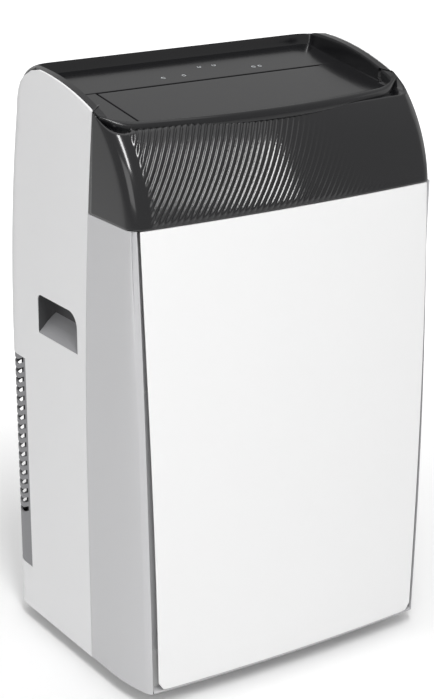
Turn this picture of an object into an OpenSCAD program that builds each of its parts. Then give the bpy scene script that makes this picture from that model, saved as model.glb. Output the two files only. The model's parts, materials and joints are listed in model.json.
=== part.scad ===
// Portable air conditioner on swivel casters, millimetres, +Z up.
// Origin: on the floor, under the middle of the body. The front faces -Y.

/* [Body] */
// Width across the side walls
body_w = 440; // [420:1:540]
// Depth from the front crown to the hose collar
body_d = 356; // [340:1:430]
// Height of the rear crest above the floor
body_h = 768; // [740:1:930]
// Height of the casing's lower edge above the floor
floor_gap = 20; // [16:1:24]
// Height where the dark cover meets the front panel
split_z = 616; // [600:1:740]
// Wall of the moulded shells
wall = 2.5; // [2:0.1:3]
// Gap between neighbouring shells
fit = 0.3; // [0.2:0.05:0.5]

/* [Front] */
// Plan radius of the crowned front
crown_r = 2905; // [2400:5:4000]
// Side-view radius of the bowed front panel
bow_r = 7560; // [6000:10:12000]
// Height of the front panel's foremost point
belly_z = 189; // [150:1:260]
// Side-view radius of the dark cover
cover_r = 177; // [160:1:220]
// Half width of the front panel at its foot
panel_foot = 202; // [180:1:210]
// Half width of the front panel at its head
panel_head = 209; // [190:1:212]
// Thickness of the front panel
panel_t = 3; // [2:0.5:4]
// Depth of the front frame's ledge behind the crown
ledge = 12; // [10:0.5:16]
// Width of the shadow groove round the panel
groove_w = 6; // [3:0.5:8]

/* [Top] */
// Slope of the tray floor
tray_tilt = 9.15; // [6:0.05:12]
// Tray floor at the seam, below the highest point
tray_drop = 29; // [23:1:38]
// Seam between flap and control panel
seam_y = 14; // [5:1:25]
// Width of the tray rim at each side
rim_w = 15; // [10:1:20]
// Half width of the outlet flap
flap_half = 165; // [150:1:170]
// Depth of the outlet flap
flap_d = 104; // [90:1:108]
// Hinge pin radius of the flap
flap_pin_r = 2.2; // [1.8:0.1:2.5]

/* [Openings] */
// Bore radius of the exhaust hose port
port_r = 62; // [60:0.5:63]
// Height of the hose port
port_z = 350; // [345:1:352]
// Distance of the hose port from the middle
port_x = 100; // [96:1:104]
// Hand grip window: front and rear edge
grip_y = [-22, 79];
// Hand grip window: lower and upper edge
grip_z = [429, 481];
// Depth of the hand grip pocket
grip_deep = 26; // [20:1:27]

/* [Running gear] */
// Caster wheel radius
wheel_r = 19; // [17:0.5:19]
// Caster wheel width
wheel_w = 14; // [12:1:18]
// Offset of the wheel from its swivel
trail = 12; // [8:1:13]
// Caster axle radius
axle_r = 3; // [2.5:0.1:4]
// Swivel stem radius
stem_r = 5; // [4:0.1:6]
// Running clearance of a shaft in its bore
run_gap = 0.06; // [0.03:0.01:0.09]

/* [Blowers] */
// Evaporator impeller radius
evap_r = 88; // [75:1:95]
// Condenser impeller radius
cond_r = 90; // [75:1:95]
// Motor shaft radius
shaft_r = 4; // [3:0.1:5]
// Swing vane count
vane_count = 4; // [4:1:4]
// Distance between swing vanes
vane_pitch = 76; // [60:1:84]

/* [Hidden] */

$fn = 48;
eps = 0.01;
half_w = body_w / 2;
front_y = -body_d / 2;
collar_lip = 2;
rear_y = body_d / 2 - collar_lip;
inner_x = half_w - wall;
crown_axis_y = front_y + crown_r;
split_y = front_y + bow_r - sqrt(bow_r * bow_r - pow(split_z - belly_z, 2));
cover_start = 5.6;
cover_end = 46;
cover_y = split_y + cover_r * cos(cover_start);
cover_z = split_z - cover_r * sin(cover_start);
lip_z = body_h - 56;
tray_z = body_h - tray_drop;
crest_y = rear_y - 93;
crest_r = 58;
top_r = 430;
lean_z = 400;
lean_r = 1470;
shoulder_y = -73;
shoulder_z = body_h - top_r + sqrt(top_r * top_r - pow(crest_y + 10 - shoulder_y, 2));
rear_corner_r = 36;
front_corner_r = 20;
rim_y = rear_y - 79;
deck_z = 48;
deck_t = 4;
deck_top = deck_z + deck_t;
bulkhead_z = 416.3;
bulkhead_t = 3;
shelf_z = bulkhead_z + bulkhead_t;

function arc(c, r, a0, a1, n) =
    [for (i = [0:n]) let (a = a0 + (a1 - a0) * i / n) [c[0] + r * cos(a), c[1] + r * sin(a)]];

// ---- outer form -------------------------------------------------------------

// Side-view line of the crowned front, inset by i
function front_line(i) = concat(
    [for (k = [0:6]) let (z = k * split_z / 6)
        [front_y + bow_r - sqrt(bow_r * bow_r - pow(z - belly_z, 2)) + i, z]],
    [for (k = [1:9]) let (a = cover_start + (cover_end - cover_start) * k / 9)
        [cover_y - (cover_r - i) * cos(a), cover_z + (cover_r - i) * sin(a)]]);

// Everything behind the crowned front
module behind_front(i) {
    back = crown_axis_y - body_d;
    spread = asin((half_w + 20) / back);
    line = front_line(i);
    last = line[len(line) - 1];
    outline = concat([for (p = line) [crown_axis_y - p[0], p[1]]],
        [[crown_axis_y - last[0], body_h + 60], [back, body_h + 60], [back, 0]]);
    translate([0, crown_axis_y, 0])
        rotate([0, 0, 270 - spread])
            rotate_extrude(angle = 2 * spread, $fn = 256)
                polygon(outline);
}

// Plan outline, inset by i
module plan(i) {
    rc = [half_w - rear_corner_r, rear_y - rear_corner_r];
    fc = [half_w - front_corner_r, front_y + 6 + front_corner_r];
    linear_extrude(height = body_h + 60)
        polygon(concat(
            arc(rc, rear_corner_r - i, 0, 90, 8),
            arc([-rc[0], rc[1]], rear_corner_r - i, 90, 180, 8),
            arc([-fc[0], fc[1]], front_corner_r - i, 180, 270, 8),
            [[0, front_y - 4 + i]],
            arc(fc, front_corner_r - i, 270, 360, 8)));
}

// Side view: leaning back, rear crest and sloping top, inset by i
module side_form(i) {
    crest_z = body_h - crest_r;
    lean_end = asin((crest_z - lean_z) / lean_r);
    shift = lean_r * (1 - cos(lean_end));
    r = rear_y - shift - crest_y;
    top_c = [crest_y + 10, body_h - top_r];
    nose = 0.441 * (shoulder_y + body_d);
    rotate([90, 0, 90])
        linear_extrude(height = 2 * body_w, center = true)
            polygon(concat(
                [[-body_d, 0], [rear_y - i, 0]],
                arc([rear_y - lean_r, lean_z], lean_r - i, 0, lean_end, 10),
                arc([crest_y, crest_z], crest_r - i, 12, 80, 8),
                arc(top_c, top_r - i, 90, 90 + asin((top_c[0] - shoulder_y) / top_r), 8),
                [[-body_d, shoulder_z - i - nose]]));
}

// The front corners narrow toward the floor
module corner_tapers(i) {
    for (s = [0, 1])
        mirror([s, 0, 0])
            translate([-half_w, front_y + 81, 25])
                rotate([0, 0, 17.5])
                    rotate([0, -1.55, 0])
                        translate([-60 + i, -160, -80])
                            cube([60, 330, body_h + 200]);
}

// Solid block inside the walls: i from the sides, f from the front, t from the back and top
module block(i, f, t) {
    difference() {
        intersection() {
            plan(i);
            side_form(t);
            behind_front(f);
        }
        corner_tapers(i);
    }
}

// Seam between rear casing and front parts, as a region behind it
module behind_seam(shift) {
    seam_r = 3450;
    seam_z = 270;
    rotate([90, 0, 90])
        linear_extrude(height = 2 * body_w, center = true)
            polygon(concat(
                [[-39 + shift, -10]],
                arc([-39 - seam_r + shift, seam_z], seam_r, 0, 0.01, 1),
                [for (k = [1:6]) let (z = seam_z + k * 80)
                    [-39 + shift - seam_r + sqrt(seam_r * seam_r - pow(z - seam_z, 2)), z]],
                [[-73 + shift, body_h + 90], [body_d, body_h + 90], [body_d, -10]]));
}

module slab(x, y, z) {
    translate([x[0], y[0], z[0]])
        cube([x[1] - x[0], y[1] - y[0], z[1] - z[0]]);
}

module tube_y(x, z, y0, y1, r) {
    translate([x, y0, z])
        rotate([-90, 0, 0])
            cylinder(h = y1 - y0, r = r);
}

module tube_x(y, z, x0, x1, r) {
    translate([x0, y, z])
        rotate([0, 90, 0])
            cylinder(h = x1 - x0, r = r);
}

module tube_z(x, y, z0, z1, r) {
    translate([x, y, z0])
        cylinder(h = z1 - z0, r = r);
}

// Frame of the sloping tray floor: origin at the seam, local z = 0 on the floor
module on_floor() {
    translate([0, seam_y, tray_z])
        rotate([tray_tilt, 0, 0])
            children();
}

function floor_z(y) = tray_z + (y - seam_y) * tan(tray_tilt);

// Round pipe through the given points
module pipe(points, r) {
    for (k = [0:len(points) - 2]) {
        d = points[k + 1] - points[k];
        translate(points[k])
            rotate([0, acos(d[2] / norm(d)), atan2(d[1], d[0])])
                cylinder(h = norm(d), r = r, $fn = 24);
    }
    for (k = [1:1:len(points) - 2])
        translate(points[k])
            sphere(r = r, $fn = 24);
}

// ---- shells -----------------------------------------------------------------

intake_half = 176;
intake_z = [440, 705];
lower_x = 20;
lower_y = 119;
lower_z = [83, 382];
panel_skirt_z = floor_gap + 7;
tray_top_z = body_h - 26;
screw_z = 34;
screw_xs = [-150, -50, 50, 150];

module grip_window(grow, x0, x1) {
    r = 14;
    translate([x0, 0, 0])
        rotate([90, 0, 90])
            linear_extrude(height = x1 - x0)
                polygon(concat(
                    [[grip_y[0] - grow, grip_z[0] - grow], [grip_y[1] + grow, grip_z[0] - grow]],
                    arc([grip_y[1] - 8, grip_z[1] - 8], 8 + grow, 0, 90, 4),
                    arc([grip_y[0] + r, grip_z[1] - r], r + grow, 90, 180, 6)));
}

module rear_casing() {
    color("whitesmoke") difference() {
        intersection() {
            block(0, 0, 0);
            behind_seam(fit / 2);
            slab([-half_w, half_w], [-body_d, body_d], [floor_gap, body_h]);
        }
        block(wall, wall, wall);
        slab([-inner_x, inner_x], [-body_d, body_d], [tray_top_z, body_h + 50]);
        slab([-inner_x, inner_x], [-body_d, rim_y], [700, body_h + 50]);
        slab([-inner_x, inner_x], [-body_d, rear_y - wall - 2], [0, 60]);
        for (s = [-1, 1])
            grip_window(0, s * half_w - 10, s * half_w + 10);
        slab([-intake_half, intake_half], [60, body_d], intake_z);
        slab([-body_w, lower_x], [lower_y, body_d], lower_z);
        tube_y(port_x, port_z, 120, body_d, port_r + 4 + fit);
        tube_y(-170, 62, 120, body_d, 11);
        tube_y(175, 100, 120, body_d, 8 + fit);
        for (x = screw_xs)
            tube_y(x, screw_z, 120, body_d, 1.9);
    }
}

// Region in front of the seam and below the split
module front_zone(gap) {
    difference() {
        slab([-body_w, body_w], [-body_d, body_d], [floor_gap, split_z - gap]);
        behind_seam(-fit / 2);
    }
}

// The front panel's outline seen from the front, grown by g
module panel_outline(g) {
    rotate([90, 0, 0])
        linear_extrude(height = 2 * body_d, center = true)
            polygon([[-panel_foot - g, panel_skirt_z - g], [panel_foot + g, panel_skirt_z - g],
                [panel_head + g, split_z + 20], [-panel_head - g, split_z + 20]]);
}

module front_frame() {
    color("gainsboro") difference() {
        intersection() {
            block(0, 0, 0);
            front_zone(fit);
        }
        block(wall, ledge + wall, wall);
        slab([-inner_x, inner_x], [front_y + 30, body_d], [0, 60]);
        difference() {
            intersection() {
                panel_outline(groove_w / 2);
                slab([-body_w, body_w], [-body_d, 0], [0, body_h]);
            }
            behind_front(ledge);
        }
        for (x = [-100, 100])
            slab([x - 70, x + 70], [-body_d, 0], [110, 560]);
    }
}

module front_panel() {
    clip_x = panel_foot - 22;
    color("white") {
        difference() {
            intersection() {
                block(0, 0, 0);
                panel_outline(0);
                front_zone(fit);
            }
            behind_front(panel_t);
        }
        for (s = [-1, 1], z = [70, 320, 570])
            intersection() {
                tube_y(s * clip_x, z, front_y - 10, -100, 5);
                difference() {
                    behind_front(panel_t - eps);
                    behind_front(ledge - fit);
                }
            }
    }
}

module ribbed_cover() {
    color("black") difference() {
        intersection() {
            block(0, 0, 0);
            slab([-body_w, body_w], [-body_d, body_d], [split_z, body_h]);
        }
        behind_seam(-fit / 2);
        intersection() {
            plan(wall);
            behind_front(wall);
        }
        slab([-inner_x, inner_x], [-body_d, 0], [lip_z - fit, body_h]);
    }
}

module tray_block(i) {
    intersection() {
        plan(i);
        side_form(i - wall - fit);
        behind_front(i - wall - fit);
        union() {
            slab([-body_w, body_w], [-body_d, body_d], [tray_top_z + fit + i - wall - fit, body_h]);
            slab([-body_w, body_w], [-body_d, rim_y - i], [lip_z, body_h]);
        }
    }
}

// Hollow of the tray above its floor, grown by g
module tray_hollow(g) {
    half = half_w - rim_w + g;
    front = front_y + 66;
    rotate([90, 0, 90])
        linear_extrude(height = 2 * half, center = true)
            polygon([[front - 3 - g, floor_z(front) + 8], [front + 6, floor_z(front + 6) - g],
                [rim_y - 2 + g, floor_z(rim_y) - g], [rim_y + g, body_h + 30],
                [front - 3 - g, body_h + 30]]);
}

lip_r = 700;
lip_half = 176;
module front_lip() {
    a = asin(lip_half / lip_r);
    y0 = front_y + 48;
    translate([0, y0 + lip_r, 0])
        rotate([0, 0, 270 - a])
            rotate_extrude(angle = 2 * a, $fn = 96)
                polygon(concat(
                    [[lip_r - 20, lip_z + 3], [lip_r - 2, lip_z + fit]],
                    arc([lip_r - 8, lip_z + 8], 7.5, -40, 90, 6),
                    [[lip_r - 20, lip_z + 8]]));
}

panel_depth = 1.5;
hinge_back = 5.3;
hinge_down = 4;
drive_r = 1.5;
motor_skin = -1.4;
module top_tray() {
    hole_half = flap_half + 1;
    color("black") difference() {
        union() {
            difference() {
                tray_block(wall + fit);
                difference() {
                    tray_block(2 * wall + fit);
                    tray_hollow(wall);
                }
                tray_hollow(0);
            }
            front_lip();
            on_floor() {
                for (s = [-1, 1])
                    translate([s * (hole_half + 3.6) - 3.5, -13, -11])
                        cube([7, 14, 9]);
                for (s = [-1, 1], y = [26, 66])
                    translate([s * 92, y, -8.7])
                        cylinder(h = 7, r = 3.5);
            }
        }
        on_floor() {
            translate([-hole_half, -flap_d - 1 - 2.3, -20])
                cube([2 * hole_half, flap_d + 3.3, 40]);
            translate([-half_w + rim_w + 4, 3, -panel_depth])
                cube([2 * (half_w - rim_w - 4), 76, 10]);
            translate([0, -hinge_back, -hinge_down])
                rotate([0, 90, 0])
                    cylinder(h = 2 * hole_half + 18, r = flap_pin_r + run_gap, center = true);
            translate([motor_x - 0.6, -hinge_back - motor_r - 0.6, motor_skin - 10])
                cube([motor_len + 1.2, 2 * motor_r + 0.9, 10]);
        }
    }
}

module control_panel() {
    w = half_w - rim_w - 4 - fit;
    color("dimgray") on_floor()
        translate([-w, 3 + fit, 0.05 - panel_depth])
            cube([2 * w, 76 - 2 * fit, panel_depth - 0.05]);
}

module outlet_flap() {
    color("black") on_floor() {
        difference() {
            translate([-flap_half, -flap_d - 2.3, -3])
                cube([2 * flap_half, flap_d, 3]);
            translate([0, -hinge_back, -hinge_down])
                rotate([0, 90, 0])
                    cylinder(h = 2 * flap_half + 10, r = 1, center = true);
        }
        translate([0, -hinge_back, -hinge_down])
            rotate([0, 90, 0]) {
                cylinder(h = 2 * flap_half, r = 3, center = true);
                cylinder(h = 2 * flap_half + 16, r = flap_pin_r, center = true);
                translate([0, 0, flap_half])
                    cylinder(h = 19, r = drive_r);
            }
    }
}

module grip_cups() {
    color("lightgray") for (s = [0, 1])
        mirror([s, 0, 0])
            difference() {
                grip_window(2.8, inner_x - grip_deep, inner_x - fit);
                grip_window(0.3, inner_x - grip_deep + 2.2, inner_x + 5);
            }
}

// Part of the casing wall between two insets, in a box
module wall_piece(i0, i1, x, y, z) {
    intersection() {
        difference() {
            block(i0, i0, i0);
            block(i1, i1, i1);
        }
        slab(x, y, z);
    }
}

module intake_grille() {
    n = 16;
    pitch = (intake_z[1] - intake_z[0] - 20) / n;
    bay = (2 * intake_half - 20) / 3;
    color("whitesmoke") difference() {
        wall_piece(0, wall, [-intake_half + fit, intake_half - fit], [60, body_d],
            [intake_z[0] + fit, intake_z[1] - fit]);
        for (k = [0:n - 1], b = [0:2])
            slab([-intake_half + 10 + b * bay + 3, -intake_half + 10 + (b + 1) * bay - 3],
                [60, body_d],
                [intake_z[0] + 12 + k * pitch, intake_z[0] + 12 + k * pitch + 8]);
    }
}

module filter_screen() {
    edge = 8;
    bay = 2 * (intake_half - edge) / 3;
    inner = wall + fit;
    x = [-intake_half + edge, intake_half - edge];
    z = [intake_z[0] + edge, intake_z[1] - edge];
    color("dimgray") {
        difference() {
            wall_piece(inner, inner + 2.5, x, [60, body_d], z);
            for (b = [0:2])
                slab([x[0] + 6 + b * bay, x[0] - 6 + (b + 1) * bay], [60, body_d],
                    [z[0] + 8, z[1] - 8]);
        }
        wall_piece(inner + 1, inner + 1.6, x + [2, -2], [60, body_d], z + [2, -2]);
    }
}

module lower_grille() {
    n = 17;
    pitch = 13.2;
    color("lightgray") difference() {
        wall_piece(0, wall, [-body_w, lower_x - fit], [lower_y + fit, body_d],
            [lower_z[0] + fit, lower_z[1] - fit]);
        for (k = [0:n - 1]) {
            z = lower_z[1] - 12 - k * pitch;
            slab([-body_w, -half_w + 32], [lower_y + 8, body_d], [z, z + 6.5]);
            for (b = [0:2])
                slab([-half_w + 38 + b * 62, -half_w + 94 + b * 62], [lower_y, body_d], [z, z + 6.5]);
        }
    }
}

module hose_port() {
    color("whitesmoke") difference() {
        union() {
            tube_y(port_x, port_z, rear_y - 26, rear_y + collar_lip, port_r + 4);
            tube_y(port_x, port_z, rear_y, rear_y + collar_lip, port_r + 16);
        }
        tube_y(port_x, port_z, 0, body_d, port_r);
    }
}

drain_x = -170;
drain_z = 62;
module drain_spout() {
    color("whitesmoke") difference() {
        tube_y(drain_x, drain_z, rear_y - 14, rear_y - wall - 0.2, 8);
        tube_y(drain_x, drain_z, 0, body_d, 5);
    }
}

module drain_plug() {
    color("dimgray") {
        tube_y(drain_x, drain_z, rear_y - 13, rear_y - wall + eps, 5 - run_gap);
        tube_y(drain_x, drain_z, rear_y - wall, rear_y, 9);
    }
}

module cord_gland() {
    color("dimgray") difference() {
        union() {
            tube_y(175, 100, rear_y - 12, rear_y + 1.5, 8);
            tube_y(175, 100, rear_y, rear_y + 1.5, 11);
        }
        tube_y(175, 100, 0, body_d, 4);
    }
}

// ---- base and casters -------------------------------------------------------

caster_x = half_w - 55;
caster_front = front_y + 74;
caster_rear = rear_y - 50;
caster_at = [[-caster_x, caster_front], [caster_x, caster_front],
    [-caster_x, caster_rear], [caster_x, caster_rear]];
boss_z = 2 * wheel_r + 5.4;
boss_top = 68;

module pan_block(i) {
    intersection() {
        plan(i);
        behind_front(i + ledge);
        side_form(i);
    }
}

module base_pan() {
    color("gray") difference() {
        union() {
            difference() {
                intersection() {
                    difference() {
                        pan_block(wall + fit);
                        corner_tapers(wall + fit);
                    }
                    slab([-body_w, body_w], [-body_d, body_d], [floor_gap + 4, 77]);
                }
                for (z = [[0, deck_z], [deck_top, 100]])
                    intersection() {
                        difference() {
                            pan_block(wall + fit + 3);
                            corner_tapers(wall + fit + 3);
                        }
                        slab([-body_w, body_w], [-body_d, body_d], z);
                    }
            }
            for (p = caster_at)
                tube_z(p[0], p[1], boss_z, boss_top, stem_r + 5);
            tube_z(splash_x, splash_y - 18, deck_z + 1, deck_top + 8, 7);
        }
        for (p = caster_at)
            tube_z(p[0], p[1], 0, boss_top + 10, stem_r + run_gap);
        tube_y(drain_x, drain_z, 120, body_d, 8 + fit / 6);
        for (x = screw_xs)
            tube_y(x, screw_z, 120, body_d, 1.6);
        for (a = mount_angles)
            tube_z(comp_x + mount_r * cos(a), comp_y + mount_r * sin(a), 0, 60, 3 + fit / 6);
        tube_z(float_x, float_y, 0, 60, 3 + fit / 6);
    }
}

module caster_fork(k) {
    arm = 2.5;
    side = wheel_w / 2 + 0.6;
    color("dimgray") translate([caster_at[k][0], caster_at[k][1], 0]) {
        difference() {
            union() {
                tube_z(0, 0, boss_z - 4, boss_z - fit, 10.5);
                slab([-side - arm, side + arm], [0, trail + 8], [boss_z - 4, boss_z - fit]);
                for (s = [-1, 1])
                    translate([s * (side + arm / 2) - arm / 2, 0, 0]) {
                        slab([0, arm], [trail - 8, trail + 8], [wheel_r, boss_z - 3]);
                        tube_x(trail, wheel_r, 0, arm, 8);
                    }
            }
        }
        tube_x(trail, wheel_r, -side - arm - 1, side + arm + 1, axle_r);
        tube_z(0, 0, boss_z - 4, boss_top + 2.6, stem_r);
        tube_z(0, 0, boss_top + fit, boss_top + 2.6, stem_r + 2);
    }
}

module caster_wheel(k) {
    color("black") translate([caster_at[k][0], caster_at[k][1], 0])
        translate([0, trail, wheel_r])
            rotate([0, 90, 0])
                difference() {
                    union() {
                        cylinder(h = wheel_w - 3, r = wheel_r, center = true);
                        cylinder(h = wheel_w, r = wheel_r - 1.5, center = true);
                    }
                    cylinder(h = 2 * wheel_w, r = axle_r + run_gap, center = true);
                    for (s = [-1, 1])
                        translate([0, 0, s * wheel_w / 2])
                            difference() {
                                cylinder(h = 6, r = wheel_r - 5, center = true);
                                cylinder(h = 7, r = axle_r + 3, center = true);
                            }
                }
}

module casing_screws() {
    color("silver") for (x = screw_xs) {
        tube_y(x, screw_z, rear_y - wall - 6, rear_y + 0.2, 1.5);
        tube_y(x, screw_z, rear_y, rear_y + 1.6, 3.5);
    }
}

// ---- lower compartment ------------------------------------------------------

comp_x = inner_x - 87;
comp_y = 20;
comp_r = 58;
mount_r = 68;
mount_angles = [30, 150, 270];
mount_top = deck_top + 14;
comp_base = mount_top;
comp_top = 258;
acc_x = comp_x - 32;
acc_y = comp_y - 84;
acc_r = 21;
cs_x = -75;
cs_z = 186;
cs_r = 112;
cs_y = [-40, 50];
splash_x = -20;
splash_y = 92;
splash_z = 82;
float_x = -150;
float_y = 95;
plenum_x = [-57, 165];
plenum_z = [300.3, bulkhead_z - fit];
plenum_back = 116;
cond_back = rear_y - wall - 20;
cond_t = 30;
coil_end = port_x - port_r - 8;
suction_z = comp_top + 16;

module compressor() {
    color("black") difference() {
        translate([comp_x, comp_y, 0]) {
            rotate_extrude(convexity = 4)
                polygon(concat(
                    [[0, comp_base + 3]],
                    [[comp_r - 14, comp_base + 3], [comp_r, comp_base + 17]],
                    arc([comp_r - 24, comp_top - 24], 24, 0, 90, 6),
                    [[0, comp_top]]));
            tube_z(0, 0, comp_base, comp_base + 3 + eps, 80);
        }
        for (a = mount_angles)
            tube_z(comp_x + mount_r * cos(a), comp_y + mount_r * sin(a), 0, comp_base + 10, 4);
    }
}

module compressor_mounts() {
    for (a = mount_angles) translate([comp_x + mount_r * cos(a), comp_y + mount_r * sin(a), 0]) {
        color("dimgray") difference() {
            tube_z(0, 0, deck_top, mount_top, 10);
            tube_z(0, 0, 0, 100, 3 + fit / 6);
        }
        color("silver") {
            tube_z(0, 0, deck_z - 1, comp_base + 9, 3);
            tube_z(0, 0, comp_base + 3.2, comp_base + 8, 6, $fn = 6);
            tube_z(0, 0, deck_z - 3, deck_z, 5.5);
        }
    }
}

module accumulator() {
    dir = [comp_x - acc_x, comp_y - acc_y];
    gap = norm(dir);
    foot = [acc_x, acc_y, 88];
    color("black") {
        tube_z(acc_x, acc_y, 110, 215, acc_r);
        tube_z(acc_x, acc_y, 104, 221, acc_r - 6);
        pipe([[acc_x, acc_y, 106], foot, foot + [dir[0], dir[1], 0] * (gap - comp_r - 0.2) / gap], 5);
    }
}

module terminal_cover() {
    color("dimgray") difference() {
        translate([comp_x - 18, comp_y - 22, comp_top + 0.2])
            cube([36, 30, 24]);
        translate([comp_x - 16, comp_y - 20, comp_top - 1])
            cube([32, 26, 23]);
    }
}

// Fin block with tube bends at both ends
module coil(x, y, z) {
    rows = floor((z[1] - z[0]) / 26) - 1;
    mid = (y[0] + y[1]) / 2;
    slab([x[0] + 12, x[1] - 12], y, z);
    for (s = [0, 1], k = [0:rows - 1])
        translate([s == 0 ? x[0] + 12 + eps : x[1] - 12 - eps, mid, z[0] + 20 + (k + 0.5 * s) * 26])
            rotate([90, 0, 0])
                rotate([0, 0, s == 0 ? 90 : -90])
                    rotate_extrude(angle = 180, $fn = 24)
                        translate([6.5, 0])
                            circle(r = 3.5, $fn = 24);
}

module condenser_coil() {
    color("silver")
        coil([-half_w + 14, coil_end], [cond_back - cond_t, cond_back], [deck_top + 26, 376]);
}

module scroll_shell(x, z, r, y, outlet_x, outlet_top, inlet_r, bore_r) {
    t = 2.5;
    difference() {
        union() {
            tube_y(x, z, y[0], y[1], r);
            slab(outlet_x, y, [z, outlet_top]);
        }
        tube_y(x, z, y[0] + t, y[1] - t, r - t);
        slab([outlet_x[0] + t, outlet_x[1] - t], [y[0] + t, y[1] - t], [z, outlet_top + 5]);
        tube_y(x, z, 0, y[1] + 5, inlet_r);
        tube_y(x, z, y[0] - 5, 0, bore_r);
    }
}

// Two feet under a scroll, standing on the height z0
module scroll_feet(x, z, r, y, z0) {
    spread = r / 2;
    for (s = [-1, 1])
        slab([x + s * spread - 6, x + s * spread + 6], [y[0] + 8, y[1] - 8],
            [z0, z - sqrt(r * r - pow(spread + 6, 2)) + 1.5]);
}

module condenser_scroll() {
    color("white") {
        scroll_shell(cs_x, cs_z, cs_r, cs_y, [cs_x + 20, cs_x + cs_r], plenum_z[0] - fit, 74, 16);
        scroll_feet(cs_x, cs_z, cs_r, cs_y, deck_top + fit);
    }
}

module impeller(x, z, r, y0, y1, shaft_y) {
    n = 24;
    difference() {
        union() {
            tube_y(x, z, y0, y0 + 3, r);
            tube_y(x, z, y0, y0 + 24, 13);
            difference() {
                tube_y(x, z, y1 - 4, y1, r);
                tube_y(x, z, y0, y1 + 1, r - 16);
            }
            for (k = [0:n - 1])
                translate([x, y0, z])
                    rotate([0, k * 360 / n, 0])
                        translate([r - 15, 0, 0])
                            rotate([0, 35, 0])
                                translate([-6, 1, -0.8])
                                    cube([12, y1 - y0 - 2, 1.6]);
        }
    }
    tube_y(x, z, shaft_y, y0 + 20, shaft_r);
}

module motor(x, z, r, y0, y1) {
    difference() {
        union() {
            tube_y(x, z, y0 + 4, y1, r);
            tube_y(x, z, y0, y0 + 5, r - 14);
        }
        tube_y(x, z, y0 + 12, y1 + 1, shaft_r + run_gap);
    }
}

module condenser_impeller() {
    color("dimgray") impeller(cs_x, cs_z, cond_r, cs_y[0] + 8, cs_y[1] - 8, cs_y[0] - 44);
}

module condenser_motor() {
    color("gray") motor(cs_x, cs_z, 46, cs_y[0] - 62, cs_y[0] - fit);
}

module exhaust_duct() {
    t = 2.5;
    color("white") difference() {
        union() {
            slab(plenum_x, [cs_y[0], plenum_back], plenum_z);
            tube_y(port_x, port_z, plenum_back - 10, rear_y - 26 - fit, port_r + 4);
        }
        slab([plenum_x[0] + t, plenum_x[1] - t], [cs_y[0] + t, plenum_back - t],
            [plenum_z[0] + t, plenum_z[1] - t]);
        tube_y(port_x, port_z, plenum_back - t - 1, body_d, port_r);
        slab([cs_x + 20 + t, cs_x + cs_r - t], [cs_y[0] + t, cs_y[1] - t],
            [plenum_z[0] - 1, plenum_z[0] + 10]);
    }
}

module splash_wheel() {
    n = 8;
    color("white") {
        tube_y(splash_x, splash_z, splash_y, splash_y + 3, 12);
        for (k = [0:n - 1])
            translate([splash_x, splash_y, splash_z])
                rotate([0, k * 360 / n, 0])
                    translate([8, 0, -1])
                        cube([14, 10, 2]);
        tube_y(splash_x, splash_z, splash_y - 20, splash_y + 2, 2.5);
    }
}

module splash_motor() {
    color("gray") {
        difference() {
            tube_y(splash_x, splash_z, splash_y - 30, splash_y - 2, 15);
            tube_y(splash_x, splash_z, splash_y - 24, splash_y, 2.5 + run_gap);
        }
        tube_z(splash_x, splash_y - 18, deck_top + 8.2, splash_z - 14, 6);
    }
}

module float_stem() {
    color("white") {
        tube_z(float_x, float_y, deck_z, 104, 3);
        tube_z(float_x, float_y, deck_top, deck_top + 4, 9);
        tube_z(float_x, float_y, 100, 104, 5.5);
    }
}

module float_ring() {
    color("khaki") difference() {
        tube_z(float_x, float_y, deck_top + 4.2, deck_top + 18, 12);
        tube_z(float_x, float_y, 0, 110, 3 + run_gap);
    }
}

// ---- upper compartment ------------------------------------------------------

es_z = 545;
es_r = 118;
es_y = [-50, 45];
evap_y = [rear_y - 88, rear_y - 54];
evap_half = inner_x - 20;
pipe_x = 179;
pipe_y = 60;
cap_x = 150;
cap_y = -80;

module bulkhead() {
    color("gray") difference() {
        intersection() {
            block(wall + fit, ledge + wall + fit, wall + fit);
            slab([-body_w, body_w], [-body_d, body_d], [bulkhead_z, shelf_z]);
        }
        tube_z(pipe_x, pipe_y, 300, 500, 9);
        tube_z(cap_x, cap_y, 300, 500, 5);
    }
}

module condensate_tray() {
    x = evap_half + 2;
    y = [evap_y[0] - 5, evap_y[1] + 5];
    color("white") difference() {
        slab([-x, x - 28], y, [shelf_z, shelf_z + 18]);
        slab([-x + 2.5, x - 30.5], [y[0] + 2.5, y[1] - 2.5], [shelf_z + 3, shelf_z + 30]);
    }
}

module evaporator_coil() {
    color("silver")
        coil([-evap_half + 6, evap_half - 34], evap_y, [shelf_z + 3.3, 700]);
}

module evaporator_scroll() {
    color("white") {
        scroll_shell(0, es_z, es_r, es_y, [20, es_r], 665.5, 72, 16);
        scroll_feet(0, es_z, es_r, es_y, shelf_z + fit);
    }
}

module evaporator_impeller() {
    color("dimgray") impeller(0, es_z, evap_r, es_y[0] + 8, es_y[1] - 8, es_y[0] - 44);
}

module evaporator_motor() {
    color("gray") motor(0, es_z, 42, es_y[0] - 64, es_y[0] - fit);
}

duct_y = [-98, 10];
duct_half = flap_half + 3;
duct_z = 666;
vane_z = 693;
vane_y = [-88, 0];
vane_span = (vane_count - 1) * vane_pitch / 2;
pin_r = 1.5;
link_y = [-71, -65];
link_drop = 13;
function vane_x(k) = -vane_span + k * vane_pitch;

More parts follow.
